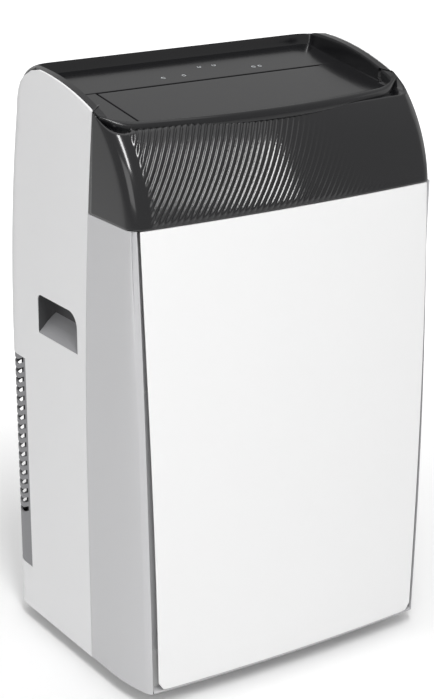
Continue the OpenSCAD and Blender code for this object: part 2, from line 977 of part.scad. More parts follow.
module outlet_duct() {
    t = 4;
    color("whitesmoke") difference() {
        slab([-duct_half, duct_half], duct_y, [duct_z, tray_z]);
        slab([-duct_half + 2.5, duct_half - 2.5], [duct_y[0] + t, duct_y[1] - t],
            [duct_z + 2.5, body_h]);
        slab([22.5, es_r - 2.5], [es_y[0] + 2.5, duct_y[1] - t], [duct_z - 1, duct_z + 5]);
        on_floor()
            translate([-body_w, -body_d, -11.5])
                cube([2 * body_w, 2 * body_d, 60]);
        for (k = [0:vane_count - 1])
            tube_y(vane_x(k), vane_z, duct_y[0] + 1.5, duct_y[1] + 2, pin_r + run_gap);
    }
}

module vane(k) {
    last = k == vane_count - 1;
    color("white") translate([vane_x(k), 0, vane_z]) {
        difference() {
            union() {
                slab([-1, 1], vane_y, [-18, 15]);
                tube_y(0, 0, vane_y[0], vane_y[1], 3);
            }
            slab([-4, 4], [link_y[0] - 3, link_y[1] + 3], [-20, -5]);
        }
        tube_y(0, 0, duct_y[0] + 2, vane_y[0] + 1, pin_r);
        tube_y(0, 0, vane_y[1] - 1, last ? duct_y[1] + 8 : duct_y[1] - 0.5, pin_r);
        tube_y(0, -link_drop, link_y[0] - 4, link_y[1] + 4, pin_r);
    }
}

module vane_link() {
    color("silver") difference() {
        slab([-vane_span - 5, vane_span + 5], link_y,
            [vane_z - link_drop - 4, vane_z - link_drop + 4]);
        for (k = [0:vane_count - 1])
            tube_y(vane_x(k), vane_z - link_drop, -90, -50, pin_r + run_gap);
    }
}

motor_x = flap_half + 12.4;
motor_len = 16;
motor_r = 8;
module louver_motors() {
    color("gray") {
        on_floor()
            translate([motor_x, -hinge_back, 0])
                difference() {
                    translate([0, 0, -motor_r - 0.5])
                        rotate([0, 90, 0])
                            cylinder(h = motor_len, r = motor_r);
                    translate([-1, 0, -hinge_down])
                        rotate([0, 90, 0])
                            cylinder(h = 9, r = drive_r + run_gap);
                    translate([-1, -motor_r - 1, motor_skin - fit])
                        cube([motor_len + 2, 2 * motor_r + 2, 5]);
                }
        difference() {
            tube_y(vane_x(vane_count - 1), vane_z, duct_y[1] + fit, duct_y[1] + 16, 12);
            tube_y(vane_x(vane_count - 1), vane_z, duct_y[1], duct_y[1] + 9, pin_r + run_gap);
        }
    }
}

box_x = [-half_w + 18, -half_w + 158];
box_y = [front_y + 40, front_y + 118];
box_z = [shelf_z + fit, 590];
module control_box() {
    color("dimgray") difference() {
        slab(box_x, box_y, box_z);
        slab([box_x[0] + 2, box_x[1] - 2], [box_y[0] - 1, box_y[1] - 2], [box_z[0] + 2, box_z[1] - 2]);
    }
}

module main_board() {
    y = box_y[1] - 8;
    color("green") {
        slab([box_x[0] + 8, box_x[1] - 8], [y, y + 1.6], [box_z[0] + 10, box_z[1] - 10]);
        for (x = [box_x[0] + 14, box_x[1] - 14], z = [box_z[0] + 18, box_z[1] - 18])
            tube_y(x, z, y + 1.6, box_y[1] - 2, 3);
        slab([box_x[0] + 20, box_x[0] + 50], [y - 14, y], [540, 565]);
        slab([box_x[0] + 70, box_x[0] + 92], [y - 16, y], [520, 545]);
    }
}

module run_capacitor() {
    color("silver") tube_z(box_x[1] - 30, box_y[0] + 28, box_z[0] + 2.2, box_z[0] + 74, 17);
}

module terminal_block() {
    color("khaki") difference() {
        slab([box_x[0] + 12, box_x[0] + 72], [box_y[0] + 14, box_y[0] + 38],
            [box_z[0] + 2.2, box_z[0] + 22]);
        for (k = [0:4])
            tube_z(box_x[0] + 20 + k * 11, box_y[0] + 26, box_z[0] + 14, box_z[0] + 30, 3);
    }
}

module display_board() {
    color("green") on_floor()
        translate([-100, 20, -8.7 - 0.2 - 1.6])
            cube([200, 52, 1.6]);
}

// ---- refrigerant pipes ------------------------------------------------------

module suction_pipe() {
    x = evap_half - 34;
    color("peru") pipe([[x + 0.3, evap_y[0] + 17, 446], [pipe_x, evap_y[0] + 17, 446], [pipe_x, pipe_y, 446],
        [pipe_x, pipe_y, suction_z], [pipe_x, acc_y, suction_z], [acc_x, acc_y, suction_z],
        [acc_x, acc_y, 221.3]], 5);
}

module discharge_pipe() {
    x = coil_end;
    y = cond_back - cond_t / 2;
    top = comp_top + 31;
    foot = deck_top + 42;
    color("peru") pipe([[comp_x + 26, comp_y, comp_top + 0.2], [comp_x + 26, comp_y, top],
        [comp_x + 64, comp_y, top], [comp_x + 64, y - 28, top], [comp_x + 64, y - 28, foot],
        [x + 14, y - 28, foot], [x + 14, y, foot], [x - 11.7, y, foot]], 4);
}

module liquid_pipe() {
    x = coil_end;
    y = cond_back - cond_t / 2;
    foot = deck_top + 32;
    color("peru") pipe([[x - 11.7, y, foot], [x + 24, y, foot], [x + 24, -80, foot],
        [30, -80, foot], [30, -80, 150]], 3);
    color("peru") tube_z(30, -80, 150, 220, 10);
}

module capillary_tube() {
    bends = 3;
    zigzag = [for (k = [0:2 * bends - 1]) let (side = floor((k + 1) / 2) % 2)
        [30 + 24 * side, -80, 228 + 8 * floor(k / 2) ]];
    color("peru") pipe(concat([[30, -80, 220.3]], zigzag,
        [[30, -80, 275], [cap_x, cap_y, 275], [cap_x, cap_y, 432],
        [cap_x, evap_y[0] - 9, 432], [cap_x, evap_y[0] - 9, 470], [cap_x, evap_y[0] - 0.2, 470]]), 1.6);
}

rear_casing();
front_frame();
front_panel();
ribbed_cover();
top_tray();
control_panel();
outlet_flap();
grip_cups();
intake_grille();
filter_screen();
lower_grille();
hose_port();
drain_spout();
drain_plug();
cord_gland();
base_pan();
caster_fork(0);  // caster_fork_1
caster_fork(1);  // caster_fork_2
caster_fork(2);  // caster_fork_3
caster_fork(3);  // caster_fork_4
caster_wheel(0);  // caster_wheel_1
caster_wheel(1);  // caster_wheel_2
caster_wheel(2);  // caster_wheel_3
caster_wheel(3);  // caster_wheel_4
casing_screws();
bulkhead();
compressor();
accumulator();
compressor_mounts();
terminal_cover();
evaporator_coil();
condenser_coil();
evaporator_scroll();
evaporator_impeller();
evaporator_motor();
condenser_scroll();
condenser_impeller();
condenser_motor();
exhaust_duct();
outlet_duct();
condensate_tray();
capillary_tube();
suction_pipe();
discharge_pipe();
liquid_pipe();
splash_wheel();
splash_motor();
float_stem();
float_ring();
control_box();
main_board();
run_capacitor();
terminal_block();
display_board();
vane(0);  // vane_1
vane(1);  // vane_2
vane(2);  // vane_3
vane(3);  // vane_4
vane_link();
louver_motors();
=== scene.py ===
import bpy
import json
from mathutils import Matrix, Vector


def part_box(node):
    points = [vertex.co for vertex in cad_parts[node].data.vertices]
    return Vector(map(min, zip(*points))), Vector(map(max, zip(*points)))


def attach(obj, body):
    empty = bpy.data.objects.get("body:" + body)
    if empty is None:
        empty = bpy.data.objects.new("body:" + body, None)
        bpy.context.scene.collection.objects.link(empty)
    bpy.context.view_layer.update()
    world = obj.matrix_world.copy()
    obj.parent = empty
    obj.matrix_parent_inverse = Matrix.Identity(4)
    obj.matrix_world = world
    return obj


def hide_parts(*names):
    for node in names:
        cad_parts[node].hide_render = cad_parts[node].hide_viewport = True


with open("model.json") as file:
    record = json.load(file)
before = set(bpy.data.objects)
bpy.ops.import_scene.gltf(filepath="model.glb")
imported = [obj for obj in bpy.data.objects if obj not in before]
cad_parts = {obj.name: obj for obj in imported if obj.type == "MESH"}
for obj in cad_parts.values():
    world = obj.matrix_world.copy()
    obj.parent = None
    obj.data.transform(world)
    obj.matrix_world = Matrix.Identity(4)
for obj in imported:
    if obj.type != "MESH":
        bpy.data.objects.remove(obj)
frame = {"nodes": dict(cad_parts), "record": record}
bpy.context.view_layer.update()  # so that the box is measured, not a default
import bmesh
import json
import math
from mathutils import Matrix, Vector

mm = 0.001
nodes = frame["nodes"]
print("stage: frame loaded")

# Outer form, in millimetres, read off the frame where a node gives it
form = {
    "half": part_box("rear_casing")[1].x / mm,
    "frontY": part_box("front_panel")[0].y / mm,
    "rearY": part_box("rear_casing")[1].y / mm,
    "top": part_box("rear_casing")[1].z / mm,
    "bottom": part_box("rear_casing")[0].z / mm,
    "split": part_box("ribbed_cover")[0].z / mm,
    "crownR": 2905,
    "bowR": 7560,
    "bellyZ": 189,
    "coverR": 177,
    "coverStart": 5.6,
    "seamR": 3450,
    "seamZ": 270,
    "seamY": -39,
    "leanZ": 400,
    "leanR": 1470,
    "crestY": 83,
    "crestR": 58,
    "topR": 430,
    "shoulderY": -73,
    "rearCorner": 36,
    "floorTilt": 9.15,
    "floorZ": 739,
    "seamTop": 14,
    "joint": 0.9,                # dark gap between neighbouring shells
}
half, top, split = form["half"], form["top"], form["split"]


def bowY(z):
    # foremost line of the front at x = 0
    r = form["bowR"]
    if z <= split:
        return form["frontY"] + r - math.sqrt(r * r - (z - form["bellyZ"]) ** 2)
    startY = form["frontY"] + r - math.sqrt(r * r - (split - form["bellyZ"]) ** 2)
    a0, rc = math.radians(form["coverStart"]), form["coverR"]
    cy, cz = startY + rc * math.cos(a0), split - rc * math.sin(a0)
    s = min(0.99, (z - cz) / rc)
    return cy - rc * math.sqrt(1 - s * s)


def crown(x):
    return form["crownR"] - math.sqrt(form["crownR"] ** 2 - x * x)


def seamY(z):
    if z <= form["seamZ"]:
        return form["seamY"]
    r = form["seamR"]
    return form["seamY"] - r + math.sqrt(r * r - (z - form["seamZ"]) ** 2)


def rearLine(z):
    if z <= form["leanZ"]:
        return form["rearY"]
    crestZ = top - form["crestR"]
    if z <= crestZ:
        r = form["leanR"]
        return form["rearY"] - r + math.sqrt(r * r - (z - form["leanZ"]) ** 2)
    shift = form["leanR"] - math.sqrt(form["leanR"] ** 2 - (crestZ - form["leanZ"]) ** 2)
    wide = form["rearY"] - shift - form["crestY"]
    return form["crestY"] + wide * math.sqrt(max(0, 1 - ((z - crestZ) / form["crestR"]) ** 2))


def topLine(y):
    # upper edge of the side seen from the side
    if y > form["crestY"]:
        crestZ = top - form["crestR"]
        shift = form["leanR"] - math.sqrt(form["leanR"] ** 2 - (crestZ - form["leanZ"]) ** 2)
        wide = form["rearY"] - shift - form["crestY"]
        return crestZ + form["crestR"] * math.sqrt(max(0, 1 - ((y - form["crestY"]) / wide) ** 2))
    if y > form["shoulderY"]:
        return top - form["topR"] + math.sqrt(form["topR"] ** 2 - (form["crestY"] - y) ** 2)
    edge = top - form["topR"] + math.sqrt(form["topR"] ** 2 - (form["crestY"] - form["shoulderY"]) ** 2)
    return edge - 0.441 * (form["shoulderY"] - y)


def floorAt(y):
    return form["floorZ"] + (y - form["seamTop"]) * math.tan(math.radians(form["floorTilt"]))


def smooth(a, b, v):
    t = min(1, max(0, (v - a) / (b - a)))
    return t * t * (3 - 2 * t)


def mix(a, b, t):
    return a + (b - a) * t


def spread(a, b, n):
    return [mix(a, b, k / n) for k in range(n + 1)]


# Mesh helpers

def meshObject(name, points, faces, smoothShade=True):
    mesh = bpy.data.meshes.new(name)
    mesh.from_pydata([(x * mm, y * mm, z * mm) for x, y, z in points], [], faces)
    mesh.validate()
    mesh.polygons.foreach_set("use_smooth", [smoothShade] * len(mesh.polygons))
    piece = bpy.data.objects.new(name, mesh)
    bpy.context.scene.collection.objects.link(piece)
    return piece


def gridObject(name, rows, skip=None, closeU=False):
    # rows of points, each row as long as the others
    wide = len(rows[0])
    points = [p for row in rows for p in row]
    faces = []
    last = wide if closeU else wide - 1
    for j in range(len(rows) - 1):
        for i in range(last):
            if skip and skip(i, j):
                continue
            n = (i + 1) % wide
            faces.append((j * wide + i, j * wide + n, (j + 1) * wide + n, (j + 1) * wide + i))
    return meshObject(name, points, faces)


def applyAll(piece):
    bpy.context.view_layer.update()
    graph = bpy.context.evaluated_depsgraph_get()
    done = bpy.data.meshes.new_from_object(piece.evaluated_get(graph))
    old = piece.data
    piece.modifiers.clear()
    piece.data = done
    done.name = piece.name
    bpy.data.meshes.remove(old)


def faceOut(piece):
    work = bmesh.new()
    work.from_mesh(piece.data)
    bmesh.ops.remove_doubles(work, verts=work.verts, dist=2e-6)
    bmesh.ops.recalc_face_normals(work, faces=work.faces)
    work.to_mesh(piece.data)
    work.free()


def pointAway(piece, centre):
    # open sheet: make the faces look away from a point inside the body
    total = sum((p.center - centre).dot(p.normal) * p.area for p in piece.data.polygons)
    if total < 0:
        piece.data.flip_normals()


def thicken(piece, thick, centre=Vector((0, 0, 0.4))):
    pointAway(piece, centre)
    mod = piece.modifiers.new("wall", "SOLIDIFY")
    mod.thickness = thick * mm
    mod.offset = -1
    applyAll(piece)


def roundEdges(piece, width, segments=2, angle=38):
    mod = piece.modifiers.new("edge", "BEVEL")
    mod.width = width * mm
    mod.segments = segments
    mod.limit_method = "ANGLE"
    mod.angle_limit = math.radians(angle)
    mod.harden_normals = False
    applyAll(piece)
    for p in piece.data.polygons:
        p.use_smooth = True
    weight = piece.modifiers.new("normals", "WEIGHTED_NORMAL")
    weight.keep_sharp = True
    applyAll(piece)


def cut(piece, cutters):
    for c in cutters:
        mod = piece.modifiers.new("cut", "BOOLEAN")
        mod.operation = "DIFFERENCE"
        mod.solver = "EXACT"
        mod.object = c
    applyAll(piece)
    for c in cutters:
        bpy.data.objects.remove(c)


def prism(name, outline, axis, a, b):
    # outline in the two other axes, extruded along axis from a to b
    def place(p, t):
        return (t, p[0], p[1]) if axis == "x" else (p[0], t, p[1]) if axis == "y" else (p[0], p[1], t)
    n = len(outline)
    points = [place(p, a) for p in outline] + [place(p, b) for p in outline]
    faces = [tuple(range(n)), tuple(range(2 * n - 1, n - 1, -1))]
    faces += [(i, (i + 1) % n, n + (i + 1) % n, n + i) for i in range(n)]
    piece = meshObject(name, points, faces, False)
    faceOut(piece)
    return piece


def arcPoints(cx, cy, r, a0, a1, n):
    return [(cx + r * math.cos(math.radians(a)), cy + r * math.sin(math.radians(a)))
            for a in spread(a0, a1, n)]


def finish(piece, material, body, replaced=()):
    piece.data.materials.clear()
    piece.data.materials.append(material)
    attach(piece, body)
    if replaced:
        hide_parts(*replaced)
    return piece


# Shader groups

def newGroup(name, inputs, outputs):
    tree = bpy.data.node_groups.new(name, "ShaderNodeTree")
    for label, kind, value in inputs:
        socket = tree.interface.new_socket(label, in_out="INPUT", socket_type=kind)
        socket.default_value = value
    for label, kind in outputs:
        tree.interface.new_socket(label, in_out="OUTPUT", socket_type=kind)
    return tree, tree.nodes.new("NodeGroupInput"), tree.nodes.new("NodeGroupOutput")


def mathNode(tree, operation, a, b=None, clamp=False):
    node = tree.nodes.new("ShaderNodeMath")
    node.operation = operation
    node.use_clamp = clamp
    for k, v in enumerate((a, b)):
        if v is None:
            continue
        if isinstance(v, (int, float)):
            node.inputs[k].default_value = v
        else:
            tree.links.new(v, node.inputs[k])
    return node.outputs[0]


def noiseNode(tree, vector, scale, detail=3):
    node = tree.nodes.new("ShaderNodeTexNoise")
    node.inputs["Detail"].default_value = detail
    if isinstance(scale, (int, float)):
        node.inputs["Scale"].default_value = scale
    else:
        tree.links.new(scale, node.inputs["Scale"])
    tree.links.new(vector, node.inputs["Vector"])
    return node.outputs[0]


def mouldGroup():
    # fine spark-eroded grain with slow tone and polish variation
    f, c = "NodeSocketFloat", "NodeSocketColor"
    tree, gin, gout = newGroup("mouldGrain", [
        ("Vector", "NodeSocketVector", (0, 0, 0)), ("Color", c, (0.8, 0.8, 0.8, 1)),
        ("Grain Scale", f, 900), ("Tone Scale", f, 4), ("Tone Amount", f, 0.03),
        ("Roughness", f, 0.4), ("Roughness Amount", f, 0.06)],
        [("Color", c), ("Roughness", f), ("Height", f)])
    fine = noiseNode(tree, gin.outputs["Vector"], gin.outputs["Grain Scale"], 4)
    slow = noiseNode(tree, gin.outputs["Vector"], gin.outputs["Tone Scale"], 2)
    signed = mathNode(tree, "SUBTRACT", slow, 0.5)
    tone = mathNode(tree, "ADD", mathNode(tree, "MULTIPLY", signed, gin.outputs["Tone Amount"]), 1)
    scale = tree.nodes.new("ShaderNodeVectorMath")
    scale.operation = "SCALE"
    tree.links.new(gin.outputs["Color"], scale.inputs[0])
    tree.links.new(tone, scale.inputs["Scale"])
    rough = mathNode(tree, "ADD", gin.outputs["Roughness"],
                     mathNode(tree, "MULTIPLY", signed, gin.outputs["Roughness Amount"]), True)
    tree.links.new(scale.outputs[0], gout.inputs["Color"])
    tree.links.new(rough, gout.inputs["Roughness"])
    tree.links.new(fine, gout.inputs["Height"])
    return tree


grain = mouldGroup()


def plastic(name, color, rough, grainScale=900, bump=0.02, tone=0.03, coat=0.0, metal=0.0,
            toneScale=4, polish=0.06):
    mat = bpy.data.materials.new(name)
    mat.use_nodes = True
    tree = mat.node_tree
    bsdf = tree.nodes["Principled BSDF"]
    coords = tree.nodes.new("ShaderNodeTexCoord")
    group = tree.nodes.new("ShaderNodeGroup")
    group.node_tree = grain
    tree.links.new(coords.outputs["Object"], group.inputs["Vector"])
    group.inputs["Color"].default_value = (*color, 1)
    group.inputs["Grain Scale"].default_value = grainScale
    group.inputs["Tone Scale"].default_value = toneScale
    group.inputs["Tone Amount"].default_value = tone
    group.inputs["Roughness"].default_value = rough
    group.inputs["Roughness Amount"].default_value = polish
    bumpNode = tree.nodes.new("ShaderNodeBump")
    bumpNode.inputs["Strength"].default_value = bump
    bumpNode.inputs["Distance"].default_value = 0.0005
    tree.links.new(group.outputs["Height"], bumpNode.inputs["Height"])
    tree.links.new(group.outputs["Color"], bsdf.inputs["Base Color"])
    tree.links.new(group.outputs["Roughness"], bsdf.inputs["Roughness"])
    tree.links.new(bumpNode.outputs["Normal"], bsdf.inputs["Normal"])
    bsdf.inputs["Metallic"].default_value = metal
    bsdf.inputs["Coat Weight"].default_value = coat
    bsdf.inputs["Coat Roughness"].default_value = 0.06
    return mat


finishes = {
    "casingWhite": plastic("casingWhite", (0.80, 0.80, 0.805), 0.42, bump=0.05),
    # frame finish: partly the frame's own slightly darker grey, partly painted shade of the frame's side,
    # which turns away from the light
    "frameGreyAndShade": plastic("frameGreyAndShade", (0.57, 0.57, 0.58), 0.38, bump=0.05),
    "panelWhite": plastic("panelWhite", (0.87, 0.87, 0.87), 0.28, bump=0.02, tone=0.0, coat=0.3, polish=0.0),
    "pianoBlack": plastic("pianoBlack", (0.008, 0.008, 0.009), 0.17, bump=0.01),
    "ribBlack": plastic("ribBlack", (0.007, 0.007, 0.008), 0.17, bump=0.01, coat=0.3),
    "grilleGrey": plastic("grilleGrey", (0.24, 0.24, 0.25), 0.5, bump=0.05),
    "pocketGrey": plastic("pocketGrey", (0.30, 0.30, 0.31), 0.5, bump=0.05),
    # painted shade: dark copy of the pocket grey for the shadowed faces inside the grip pocket
    "pocketPaintedShade": plastic("pocketPaintedShade", (0.05, 0.05, 0.052), 0.55, bump=0.05),
    "mattBlack": plastic("mattBlack", (0.02, 0.02, 0.02), 0.6, bump=0.08),
    "tyreBlack": plastic("tyreBlack", (0.015, 0.015, 0.015), 0.75, bump=0.1),
    "innerWhite": plastic("innerWhite", (0.6, 0.6, 0.6), 0.55, bump=0.05),
    "enamel": plastic("enamel", (0.02, 0.02, 0.02), 0.3, bump=0.03),
    "zinc": plastic("zinc", (0.55, 0.56, 0.57), 0.35, grainScale=300, metal=1.0),
    "finMetal": plastic("finMetal", (0.75, 0.76, 0.78), 0.3, grainScale=700, metal=1.0),
    "copperTube": plastic("copperTube", (0.72, 0.38, 0.24), 0.25, grainScale=200, metal=1.0, tone=0.15),
    "boardGreen": plastic("boardGreen", (0.02, 0.14, 0.06), 0.35, bump=0.05),
}
print("stage: finishes made")

# Every carried-over node takes the finish of its material slot
slotFinish = {
    "white_shell": "casingWhite", "frame_grey": "frameGreyAndShade", "panel_white": "panelWhite",
    "gloss_black": "pianoBlack", "grip_grey": "pocketGrey", "dark_plastic": "mattBlack",
    "wheel_rubber": "tyreBlack", "inner_white": "innerWhite", "coated_steel": "enamel",
    "screw_steel": "zinc", "coil_fins": "finMetal", "copper": "copperTube", "board_green": "boardGreen",
}
for part in frame["record"]["subparts"]:
    node = nodes[part["node"]]
    node.data.materials.clear()
    node.data.materials.append(finishes[slotFinish[part["material_slot"]]])

# Rear casing

casing = {
    "wall": 2.6,
    "edge": 1.0,
    "rows": 64,
    "grip": (-22, 79, 429, 481),       # rear-to-front and low-to-high limits of the hand grip
    "slots": 17,
    "slotPitch": 13.2,
    "slotHigh": 6.6,
    "grille": (119, 83, 382),          # front edge, low and high limits of the side grille
}


def casingRow(t):
    # one row of points round the back, from the left seam to the right seam
    row = []
    r = form["rearCorner"]
    bottom = form["bottom"]
    sides = spread(0, 1, 26)
    corner = spread(0, 90, 10)
    back = spread(0, 1, 24)

    def column(x, yFraction, offset, turn=0):
        # solve the column's own top, because the top edge slopes
        z = bottom + t * (600 - bottom)
        for _ in range(12):
            y = place(yFraction, offset, z)
            ceiling = topLine(min(y, 140))
            ceiling = mix(ceiling, top - 26, smooth(0, 34, turn))
            z = bottom + t * (ceiling - bottom)
        return (x, place(yFraction, offset, z), z)

    def place(yFraction, offset, z):
        front = seamY(z) + form["joint"] / 2
        rear = rearLine(z) - r
        return mix(front, rear, yFraction) + offset

    for s in sides:
        row.append(column(-half, s, 0))
    for a in corner[1:]:
        ar = math.radians(a)
        row.append(column(-half + r - r * math.cos(ar), 1, r * math.sin(ar), a))
    for s in back[1:-1]:
        row.append(column(mix(-half + r, half - r, s), 1, r, 90))
    for a in corner[::-1][:-1] + [0]:
        ar = math.radians(a)
        row.append(column(half - r + r * math.cos(ar), 1, r * math.sin(ar), a))
    for s in sides[::-1][1:]:
        row.append(column(half, s, 0))
    return row


def gripOutline(grow):
    y0, y1, z0, z1 = casing["grip"]
    return [(y0 - grow, z0 - grow), (y1 + grow, z0 - grow)] \
        + arcPoints(y1 - 9, z1 - 9, 9 + grow, 0, 90, 6) \
        + arcPoints(y0 + 20, z1 - 20, 20 + grow, 90, 180, 10)


def buildCasing():
    shell = gridObject("rearCasing", [casingRow(t) for t in spread(0, 1, casing["rows"])])
    thicken(shell, casing["wall"])
    faceOut(shell)
    cutters = []
    for s in (-1, 1):
        cutters.append(prism("gripCut", gripOutline(0), "x", s * half - 12, s * half + 12))
    y0, z0, z1 = casing["grille"]
    cutters.append(prism("grilleCut", [(y0, z0), (260, z0), (260, z1), (y0, z1)], "x", -260,
                         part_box("lower_grille")[1].x / mm + 0.3))
    inlet = [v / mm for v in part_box("intake_grille")]
    x0, x1 = inlet[0].x - 0.3, inlet[1].x + 0.3
    low, high = inlet[0].z - 0.3, inlet[1].z + 0.3
    cutters.append(prism("intakeCut", [(x0, low), (x1, low), (x1, high), (x0, high)], "y", 60, 300))
    port = [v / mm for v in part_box("hose_port")]
    cx, cz = (port[0].x + port[1].x) / 2, (port[0].z + port[1].z) / 2
    cutters.append(prism("portCut", arcPoints(cx, cz, 66.3, 0, 352.5, 47), "y", 120, 300))
    cutters.append(prism("drainCut", arcPoints(-170, 62, 11, 0, 345, 23), "y", 120, 300))
    cutters.append(prism("glandCut", arcPoints(175, 100, 8.3, 0, 345, 23), "y", 120, 300))
    cut(shell, cutters)
    roundEdges(shell, casing["edge"])
    return shell


finish(buildCasing(), finishes["casingWhite"], "cabinet", ["rear_casing"])
print("stage: rear casing")

# Front frame

front = {
    "panelFoot": 197, "panelHead": 210,   # half widths of the panel
    "groove": 6.5,
    "bevel": 5.0,
    "grooveDeep": 15,
    "taperHead": (-138, -160), "taperFoot": (-88, -128),
    "low": 21,
}


def panelHalf(z):
    return mix(front["panelFoot"], front["panelHead"], smooth(-160, split + 60, z))


def grooveWide(z):
    return mix(front["groove"], 2.6, smooth(150, split, z))


def bevelWide(z):
    return mix(front["bevel"], 4.0, smooth(150, split, z))


def frameSide(z):
    # left half of the frame's plan at height z, from the seam round to the groove floor
    w = min(1, max(0, (split - z) / (split - 25)))
    edgeX = -(panelHalf(z) + grooveWide(z) + bevelWide(z))
    faceY = bowY(z) + crown(edgeX)
    p0 = (-half, mix(front["taperHead"][0], front["taperFoot"][0], w))
    p1 = (-half, mix(front["taperHead"][1], front["taperFoot"][1], w))
    p2 = (edgeX, faceY + 10)
    p1 = (-half, min(p1[1], p2[1] + 14 + 18 * w))
    line = [(-half, mix(seamY(z) - form["joint"] / 2, p0[1], s)) for s in spread(0, 1, 8)]
    for s in spread(0, 1, 14)[1:]:
        line.append(tuple((1 - s) ** 2 * p0[k] + 2 * s * (1 - s) * p1[k] + s * s * p2[k] for k in (0, 1)))
    inX = edgeX + bevelWide(z)
    line.append((mix(edgeX, inX, 0.5), faceY + 6.2))
    line.append((inX, faceY + 3.2))
    line.append((inX + 0.8, faceY + 4.2))
    line.append((inX + 1.0, faceY + front["grooveDeep"]))
    line.append((inX + 14, faceY + front["grooveDeep"]))
    return line


def buildFrame():
    rows = []
    for z in spread(front["low"], split - form["joint"], 48):
        left = frameSide(z)
        right = [(-x, y) for x, y in left[::-1]]
        rows.append([(x, y, z) for x, y in left + right])
    frameSheet = gridObject("frontFrame", rows)
    thicken(frameSheet, 2.4, Vector((0, 0.05, 0.3)))
    faceOut(frameSheet)
    roundEdges(frameSheet, 0.5)
    return frameSheet


# the frame is darker than the casing partly by painted shade of its turning side, besides its own slightly
# darker grey
finish(buildFrame(), finishes["frameGreyAndShade"], "cabinet", ["front_frame"])


def buildSill():
    # shelf that closes the frame under the panel
    outer, inner = [], []
    z = front["low"]
    w = front["panelFoot"] + front["groove"]
    for x in spread(-w, w, 40):
        outer.append((x, bowY(z + 4) + crown(x) + 4))
        inner.append((x, bowY(z + 4) + crown(x) + 26))
    rows = [[(x, y, z) for x, y in outer], [(x, y, z + 3.5) for x, y in outer],
            [(x, y, z + 3.5) for x, y in inner], [(x, y, z) for x, y in inner],
            [(x, y, z) for x, y in outer]]
    sill = gridObject("frameSill", rows)
    faceOut(sill)
    return sill


finish(buildSill(), finishes["frameGreyAndShade"], "cabinet", ())
print("stage: front frame")

# Front panel

panel = {"low": 25.5, "thick": 3.0, "corner": 11, "edge": 1.6}


def buildPanel():
    rows = []
    high = split - form["joint"]
    for v in spread(0, 1, 60):
        row = []
        for u in spread(-1, 1, 60):
            z = mix(panel["low"], high, v)
            x = u * panelHalf(z)
            inset = max(0, abs(x) - (panelHalf(panel["low"]) - panel["corner"]))
            r = panel["corner"]
            lift = r - math.sqrt(max(0, r ** 2 - min(inset, r) ** 2))
            z = mix(panel["low"] + lift, high, v)
            row.append((x, bowY(z) + crown(x), z))
        rows.append(row)
    sheet = gridObject("frontPanel", rows)
    thicken(sheet, panel["thick"], Vector((0, 0.1, 0.3)))
    faceOut(sheet)
    roundEdges(sheet, panel["edge"], 3)
    return sheet


finish(buildPanel(), finishes["panelWhite"], "cabinet", ["front_panel"])
print("stage: front panel")

# Ribbed cover

cover = {
    "corner": 19, "wall": 2.4, "flange": 34, "cornerX": 201,
    "columns": 520, "rowsFront": 58,
    "ribPitch": 8.3, "ribHigh": 2.7, "ribLean": 35.5,
    "fadeStart": -10, "fadeEnd": 150, "border": 8,
    "lipLow": 713,
}


def coverRow(t, fine):
    row = []
    r = cover["corner"]
    cx = cover["cornerX"]

    def solve(place, ceiling):
        z = split + t * 90
        for _ in range(14):
            x, y = place(z)
            z = split + t * (ceiling(y) - split)
        x, y = place(z)
        return (x, y, z)

    def faceY(z):
        return bowY(z) + crown(cx)

    def sidePlace(s):
        return lambda z: (-half, mix(seamY(z) - form["joint"] / 2, faceY(z) + r, s))

    def cornerPlace(a):
        return lambda z: (-cx - r * math.cos(a), faceY(z) + r - r * math.sin(a))

    def frontPlace(x):
        return lambda z: (x, bowY(z) + crown(x))

    def sideTop(y):
        return topLine(y)

    for s in spread(0, 1, 10):
        row.append(solve(sidePlace(s), sideTop))
    for a in spread(0, 90, 10)[1:]:
        k = a / 90
        row.append(solve(cornerPlace(math.radians(a)),
                         lambda y, k=k: mix(sideTop(y), cover["lipLow"] + 6, k)))
    left = list(row)
    for x in spread(-cx, cx, fine)[1:-1]:
        row.append(solve(frontPlace(x), lambda y: cover["lipLow"] + 6))
    row += [(-x, y, z) for x, y, z in left[::-1]]
    return row


